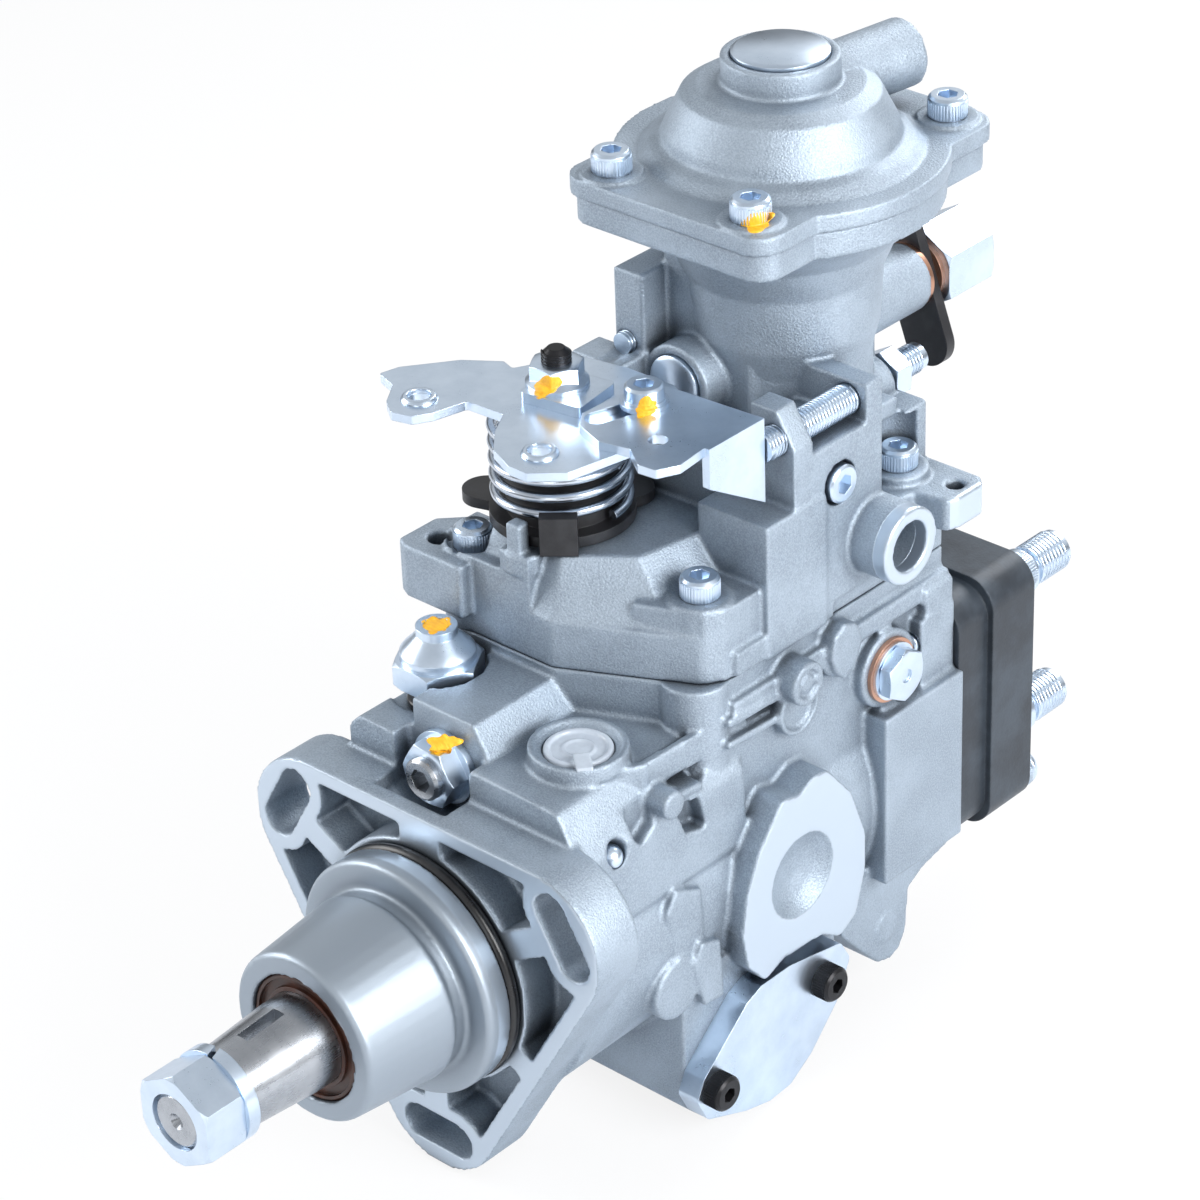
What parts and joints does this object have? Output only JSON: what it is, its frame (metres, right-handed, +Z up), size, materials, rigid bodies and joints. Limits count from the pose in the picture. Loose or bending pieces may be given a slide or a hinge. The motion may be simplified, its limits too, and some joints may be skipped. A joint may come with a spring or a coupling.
{
  "type": "diesel injection pump",
  "caption": "Rotary distributor diesel injection pump with flange, threaded taper shaft, control lever, governor cover and boost compensator.",
  "frame": {"origin": "where the drive shaft's axis meets the flange's mating face", "axes": "+Y along the drive shaft from the engine towards the fuel outlets, +Z up towards the boost compensator, +X to the side with the round machined boss"},
  "size_m": [0.1232, 0.334, 0.2767],
  "materials": {
    "cast_aluminium": "bead-blasted casting with machined faces",
    "black_cast_iron": "dark oiled steel block, slightly rough",
    "machined_steel": "ground and turned steel",
    "zinc_plated_steel": "blue zinc plating",
    "black_steel": "black oxide",
    "spring_steel": "drawn wire",
    "bronze": "sintered bearing bronze",
    "copper": "plain copper",
    "aluminium_piston": "turned and anodised",
    "brown_seal": "brown fluorocarbon rubber",
    "black_rubber": "nitrile rubber",
    "black_plastic": "moulded black plastic",
    "white_plastic": "milky soft plastic"
  },
  "bodies": {
    "casing": {"pump_housing": "cast_aluminium", "governor_cover": "cast_aluminium", "boost_cover": "cast_aluminium", "distributor_head": "black_cast_iron", "feed_ring": "machined_steel", "feed_cover": "machined_steel", "governor_shaft": "machined_steel", "spring_bridge": "machined_steel", "distributor_barrel": "machined_steel", "delivery_valves": "machined_steel", "governor_nut": "zinc_plated_steel", "pressure_valve": "zinc_plated_steel", "side_plugs": "zinc_plated_steel", "head_plug": "zinc_plated_steel", "outlet_holders": "zinc_plated_steel", "head_screws": "zinc_plated_steel", "cover_screws": "zinc_plated_steel", "boost_sealing_disc": "zinc_plated_steel", "stop_screws": "zinc_plated_steel", "return_fitting": "zinc_plated_steel", "timing_covers": "zinc_plated_steel", "ball_plug": "zinc_plated_steel", "timing_cover_screws": "black_steel", "plunger_springs": "spring_steel", "governor_spring": "spring_steel", "timing_spring": "spring_steel", "return_spring": "spring_steel", "boost_spring": "spring_steel", "shaft_bush": "bronze", "copper_washers": "copper", "shaft_seal": "brown_seal", "o_rings": "black_rubber", "boost_diaphragm": "black_rubber", "spring_hub": "black_plastic", "cap_strap": "black_plastic", "inlet_cap": "white_plastic"},
    "shaft_group": {"drive_shaft": "machined_steel", "shaft_nut": "zinc_plated_steel", "spring_washer": "zinc_plated_steel", "feed_rotor": "machined_steel", "feed_vanes": "machined_steel", "shaft_gear": "machined_steel", "gear_dampers": "black_rubber"},
    "cam_group": {"coupling_cross": "machined_steel", "cam_plate": "machined_steel", "plunger": "machined_steel"},
    "governor_cage": {"flyweight_carrier": "machined_steel", "flyweights": "machined_steel"},
    "sleeve": {"governor_sleeve": "machined_steel"},
    "tension_lever_body": {"tension_lever": "machined_steel"},
    "spool": {"control_spool": "machined_steel"},
    "timing_piston_body": {"timing_piston": "aluminium_piston"},
    "roller_group": {"roller_ring": "machined_steel", "rollers": "machined_steel"},
    "boost_pin_body": {"boost_pin": "machined_steel"},
    "control_lever": {"control_shaft": "black_steel", "lever_plate": "zinc_plated_steel", "lever_bracket": "zinc_plated_steel", "lever_nut": "zinc_plated_steel", "clamp_screw": "zinc_plated_steel"}
  },
  "joints": [
    {"name": "drive_shaft_spin", "type": "hinge", "parent": "casing", "child": "shaft_group", "pos_m": [0, 0, 0], "axis": [0, 1, 0], "continuous": true},
    {"name": "cam_plate_spin", "type": "hinge", "parent": "casing", "child": "cam_group", "pos_m": [0, 0.1, 0], "axis": [0, 1, 0], "continuous": true},
    {"name": "governor_cage_spin", "type": "hinge", "parent": "casing", "child": "governor_cage", "pos_m": [-0.008, 0.07, 0.04733], "axis": [0, 1, 0], "continuous": true},
    {"name": "governor_sleeve_slide", "type": "slide", "parent": "casing", "child": "sleeve", "axis": [0, 1, 0], "range_m": [0, 0.004]},
    {"name": "tension_lever_tilt", "type": "hinge", "parent": "casing", "child": "tension_lever_body", "pos_m": [0, 0.1405, 0.027], "axis": [-1, 0, 0], "range_deg": [0, 11.3]},
    {"name": "control_spool_slide", "type": "slide", "parent": "casing", "child": "spool", "axis": [0, -1, 0], "range_m": [0, 0.0036]},
    {"name": "timing_piston_slide", "type": "slide", "parent": "casing", "child": "timing_piston_body", "axis": [1, 0, 0], "range_m": [-0.004, 0.004], "deforming": ["timing_spring"]},
    {"name": "roller_ring_turn", "type": "hinge", "parent": "casing", "child": "roller_group", "pos_m": [0, 0.081, 0], "axis": [0, 1, 0], "range_deg": [-6.1, 6.1]},
    {"name": "boost_pin_slide", "type": "slide", "parent": "casing", "child": "boost_pin_body", "axis": [0, 0, -1], "range_m": [0, 0.005], "stiffness_N_per_m": 4000, "springref_m": -0.002, "deforming": ["boost_spring", "boost_diaphragm"]},
    {"name": "control_lever_turn", "type": "hinge", "parent": "casing", "child": "control_lever", "pos_m": [-0.015, 0.075, 0.13], "axis": [0, 0, -1], "range_deg": [0, 42]}
  ],
  "couplings": [
    {"joint": "cam_plate_spin", "follows": "drive_shaft_spin", "ratio": 1},
    {"joint": "governor_cage_spin", "follows": "drive_shaft_spin", "ratio": -2},
    {"joint": "tension_lever_tilt", "follows": "governor_sleeve_slide", "rad_per_m": 49.2},
    {"joint": "control_spool_slide", "follows": "governor_sleeve_slide", "ratio": 0.88},
    {"joint": "roller_ring_turn", "follows": "timing_piston_slide", "rad_per_m": -26.3}
  ]
}
